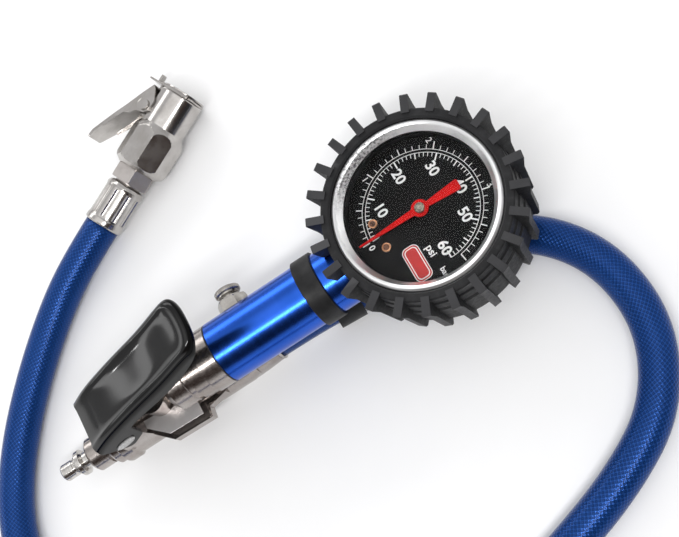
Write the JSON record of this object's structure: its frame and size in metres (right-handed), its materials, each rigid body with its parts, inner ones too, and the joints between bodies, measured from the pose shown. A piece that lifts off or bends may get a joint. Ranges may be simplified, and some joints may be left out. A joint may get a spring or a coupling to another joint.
{
  "type": "tyre inflator with gauge",
  "caption": "Hand tyre inflator: squeeze lever and bleed button on a blue barrel, dial gauge in a ribbed rubber boot, and a braided hose looping round to a clip-on valve chuck.",
  "frame": {"origin": "The middle of the inlet plug's nose, on its axis.", "axes": "+X runs along the tool from the inlet plug to the gauge, +Z is the way the dial faces, +Y is the side of the bleed button. The surface it lies on is 17.5 mm below the origin."},
  "size_m": [0.2995, 0.2951, 0.0917],
  "materials": {
    "plated_casting": "satin nickel plate",
    "blue_anodised": "blue anodised, satin",
    "black_seal": "smooth black rubber",
    "plug_steel": "turned, zinc plated",
    "filter_bronze": "sintered",
    "ferrule_steel": "bright plate",
    "lever_black": "gloss black enamel",
    "badge_silver": "silver enamel",
    "brass": "turned",
    "spring_steel": "drawn wire",
    "clip_black": "matte black",
    "case_steel": "black enamel",
    "lens": "clear",
    "dial_black": "matte black with white print",
    "needle_red": "red enamel",
    "boot_rubber": "matte moulded rubber",
    "hose_braid": "blue textile braid",
    "chuck_chrome": "satin chrome"
  },
  "bodies": {
    "tool": {"body_casting": "plated_casting", "body_sleeve": "blue_anodised", "sleeve_seal": "black_seal", "inlet_plug": "plug_steel", "inlet_filter": "filter_bronze", "outlet_ferrule": "ferrule_steel", "lever_pin": "plug_steel", "valve_seat": "brass", "plunger_seal": "black_seal", "valve_spring": "spring_steel", "valve_cap": "plug_steel", "bleed_housing": "ferrule_steel", "bleed_spring": "spring_steel", "hose_clip": "clip_black", "gauge_stem": "brass", "gauge_case": "case_steel", "gauge_bezel": "ferrule_steel", "gauge_lens": "lens", "lens_gasket": "black_seal", "gauge_dial": "dial_black", "dial_screws": "brass", "movement_frame": "brass", "bourdon_tube": "brass", "rubber_boot": "boot_rubber", "hose": "hose_braid", "chuck_ferrule": "chuck_chrome", "chuck_nut": "chuck_chrome", "chuck_body": "chuck_chrome", "chuck_seal": "black_seal", "valve_depressor": "plug_steel", "chuck_pin": "plug_steel", "chuck_cap": "chuck_chrome", "chuck_spring": "spring_steel"},
    "trigger": {"trigger_lever": "lever_black", "lever_badges": "badge_silver"},
    "plunger": {"valve_plunger": "plug_steel", "poppet_washer": "black_seal"},
    "bleed": {"bleed_button": "ferrule_steel", "bleed_seal": "black_seal"},
    "pointer": {"needle": "needle_red", "needle_hub": "brass", "pinion": "brass"},
    "sector": {"sector_gear": "brass"},
    "chuck_trigger": {"chuck_lever": "chuck_chrome"},
    "grip": {"grip_plate": "chuck_chrome"}
  },
  "joints": [
    {"name": "trigger_hinge", "type": "hinge", "parent": "tool", "child": "trigger", "pos_m": [0.038, 0, 0.027], "axis": [0, 1, 0], "range_deg": [0, 15], "stiffness_Nm_per_rad": 0.4, "springref_deg": -11.46},
    {"name": "plunger_slide", "type": "slide", "parent": "tool", "child": "plunger", "axis": [0, 0, -1], "range_m": [0, 0.005], "deforming": ["valve_spring"]},
    {"name": "bleed_slide", "type": "slide", "parent": "tool", "child": "bleed", "axis": [0, -1, 0], "range_m": [0, 0.002], "stiffness_N_per_m": 400, "springref_m": -0.001, "deforming": ["bleed_spring"]},
    {"name": "needle_hinge", "type": "hinge", "parent": "tool", "child": "pointer", "pos_m": [0.192, 0, 0.034], "axis": [0, 0, 1], "range_deg": [-270, 0], "stiffness_Nm_per_rad": 0.0001, "springref_deg": 11.46},
    {"name": "sector_hinge", "type": "hinge", "parent": "tool", "child": "sector", "pos_m": [0.192, 0.01768, 0.0253], "axis": [0, 0, 1], "range_deg": [0, 27]},
    {"name": "chuck_hinge", "type": "hinge", "parent": "tool", "child": "chuck_trigger", "pos_m": [0.1064, 0.12819, -0.0056], "axis": [0, 0, 1], "range_deg": [0, 10], "stiffness_Nm_per_rad": 0.2, "springref_deg": -5.73},
    {"name": "grip_slide", "type": "slide", "parent": "tool", "child": "grip", "axis": [-0.4493, 0.8934, 0], "range_m": [0, 0.00235]}
  ],
  "couplings": [
    {"joint": "plunger_slide", "follows": "trigger_hinge", "m_per_rad": 0.019},
    {"joint": "sector_hinge", "follows": "needle_hinge", "ratio": -0.1},
    {"joint": "grip_slide", "follows": "chuck_hinge", "m_per_rad": 0.0128}
  ]
}
